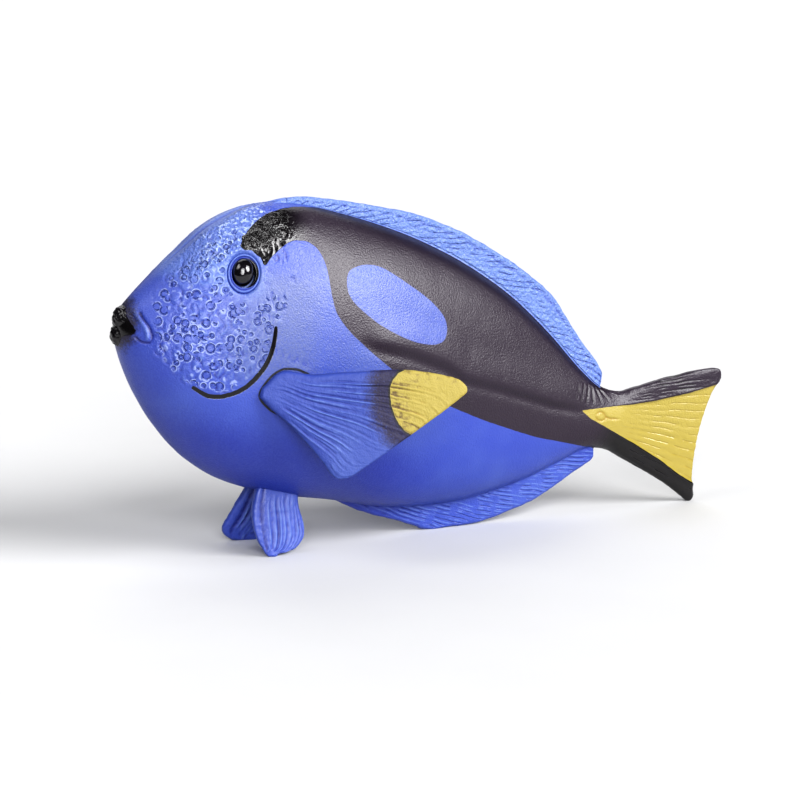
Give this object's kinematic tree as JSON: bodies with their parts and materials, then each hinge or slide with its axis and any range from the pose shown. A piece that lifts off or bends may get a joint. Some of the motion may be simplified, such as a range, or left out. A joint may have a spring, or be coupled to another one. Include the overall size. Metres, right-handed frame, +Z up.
{
  "type": "toy regal blue tang figure",
  "caption": "Solid soft-vinyl toy of a regal blue tang, nose raised, with painted blue, black and yellow markings, flared pectoral fins and a line on each cheek, standing on its fin tips",
  "frame": {"origin": "bottom centre of the bounding box, at floor level", "axes": "+X from head to tail, +Y to the fish's right side, +Z up"},
  "size_m": [0.1406, 0.0652, 0.0732],
  "materials": {
    "blue_vinyl": "satin",
    "black_paint": "satin",
    "yellow_paint": "satin",
    "eye_gloss": "gloss"
  },
  "bodies": {
    "root": {"head": "blue_vinyl", "lips": "black_paint", "eye_left": "eye_gloss", "eye_right": "eye_gloss", "trunk": "blue_vinyl", "tail_base": "black_paint", "tail_fin": "yellow_paint", "dorsal_fin": "blue_vinyl", "anal_fin": "blue_vinyl", "pectoral_fin_left": "blue_vinyl", "pectoral_fin_right": "blue_vinyl", "pelvic_fin_left": "blue_vinyl", "pelvic_fin_right": "blue_vinyl"}
  },
  "joints": []
}
